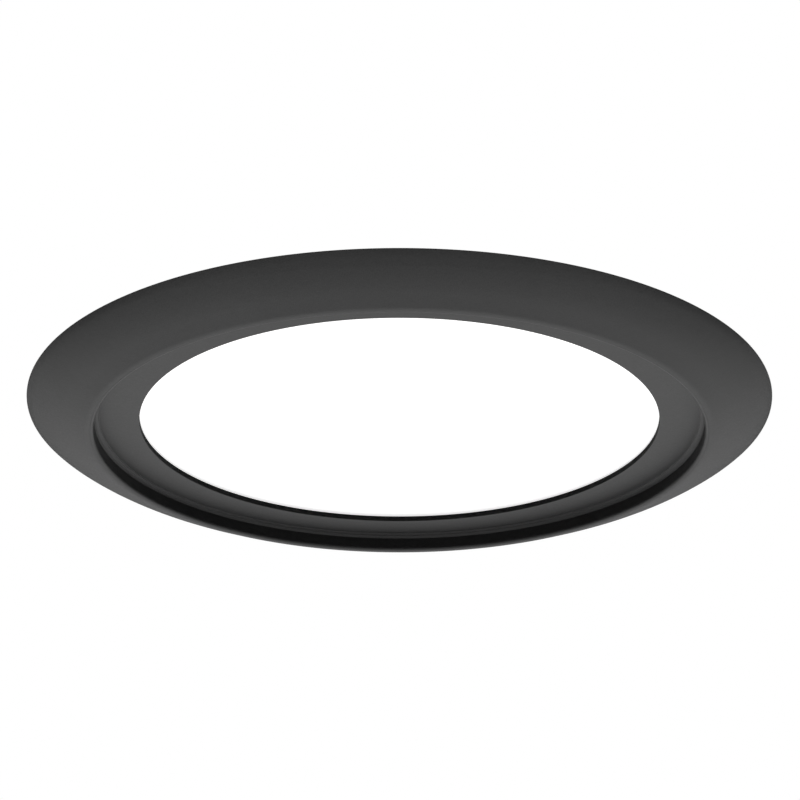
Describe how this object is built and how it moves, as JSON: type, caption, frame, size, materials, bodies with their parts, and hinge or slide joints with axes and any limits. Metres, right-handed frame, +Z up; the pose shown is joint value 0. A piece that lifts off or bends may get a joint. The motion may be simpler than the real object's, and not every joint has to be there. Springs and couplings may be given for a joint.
{
  "type": "soffit downlight",
  "caption": "Slim round soffit downlight: a matte black magnetic trim ring round a lit opal lens, with a shallow housing, a driver box and hinged spring clips behind.",
  "frame": {"origin": "centre of the soffit's face, level with the back of the gasket and of the trim's rim", "axes": "+Z up into the soffit along the light's axis, X through the two spring clips, +Y towards the cable gland"},
  "size_m": [0.19, 0.19, 0.0336],
  "materials": {
    "trim_coat": "matte black powder coat on die-cast aluminium",
    "cast_frame": "as-cast aluminium, shot-blasted",
    "opal_lens": "satin opal acrylic, lit from behind",
    "clear_acrylic": "polished clear acrylic",
    "white_film": "matte white polyester film",
    "black_foam": "closed-cell foam",
    "silicone": "translucent grey silicone",
    "pressed_plate": "mill-finish pressed aluminium sheet",
    "zinc_steel": "bright zinc-plated steel",
    "spring_steel": "drawn stainless spring wire",
    "magnet_plate": "nickel-plated magnet",
    "box_plastic": "fine-textured moulded polycarbonate",
    "gland_nylon": "moulded nylon",
    "knob_plastic": "white moulded acetal",
    "circuit_board": "green solder mask",
    "white_strip": "white solder mask",
    "ferrite": "ground ferrite and tape",
    "can_sleeve": "dark sleeve on an aluminium can",
    "yellow_film": "cast epoxy box",
    "terminal_plastic": "moulded nylon"
  },
  "bodies": {
    "fixture": {"bezel": "cast_frame", "striker_plates": "zinc_steel", "soffit_gasket": "black_foam", "lens_seal": "silicone", "diffuser_lens": "opal_lens", "led_strip": "white_strip", "led_chips": "yellow_film", "light_guide": "clear_acrylic", "reflector_sheet": "white_film", "foam_pad": "black_foam", "rear_cover": "pressed_plate", "rear_cover_screws": "zinc_steel", "earth_stud": "zinc_steel", "earth_washer": "zinc_steel", "earth_nut": "zinc_steel", "driver_tray": "box_plastic", "driver_lid": "box_plastic", "lid_seal": "silicone", "lid_screws": "zinc_steel", "board_screws": "zinc_steel", "tray_rivets": "zinc_steel", "driver_board": "circuit_board", "transformer": "ferrite", "bulk_capacitor": "can_sleeve", "film_capacitor": "yellow_film", "choke": "ferrite", "terminal_block": "terminal_plastic", "selector_switch": "box_plastic", "gland_body": "gland_nylon", "gland_locknut": "gland_nylon", "gland_insert": "black_foam", "gland_cap": "gland_nylon", "clip_bracket_right": "zinc_steel", "clip_pin_right": "zinc_steel", "clip_rivets_right": "zinc_steel", "clip_spring_right": "spring_steel", "clip_bracket_left": "zinc_steel", "clip_pin_left": "zinc_steel", "clip_rivets_left": "zinc_steel", "clip_spring_left": "spring_steel"},
    "trim": {"trim_ring": "trim_coat", "trim_magnets": "magnet_plate"},
    "clip_right": {"clip_arm_right": "zinc_steel", "clip_pad_right": "silicone"},
    "clip_left": {"clip_arm_left": "zinc_steel", "clip_pad_left": "silicone"},
    "selector": {"selector_knob": "knob_plastic"}
  },
  "joints": [
    {"name": "trim_pull", "type": "slide", "parent": "fixture", "child": "trim", "axis": [0, 0, -1], "range_m": [0, 0.03]},
    {"name": "clip_right_hinge", "type": "hinge", "parent": "fixture", "child": "clip_right", "pos_m": [0.061, 0, 0.012], "axis": [0, -1, 0], "range_deg": [0, 95], "stiffness_Nm_per_rad": 0.08, "springref_deg": -68.75, "deforming": ["clip_spring_right"]},
    {"name": "clip_left_hinge", "type": "hinge", "parent": "fixture", "child": "clip_left", "pos_m": [-0.061, 0, 0.012], "axis": [0, 1, 0], "range_deg": [0, 95], "stiffness_Nm_per_rad": 0.08, "springref_deg": -68.75, "deforming": ["clip_spring_left"]},
    {"name": "selector_slide", "type": "slide", "parent": "fixture", "child": "selector", "axis": [1, 0, 0], "range_m": [-0.0028, 0.0028]}
  ]
}
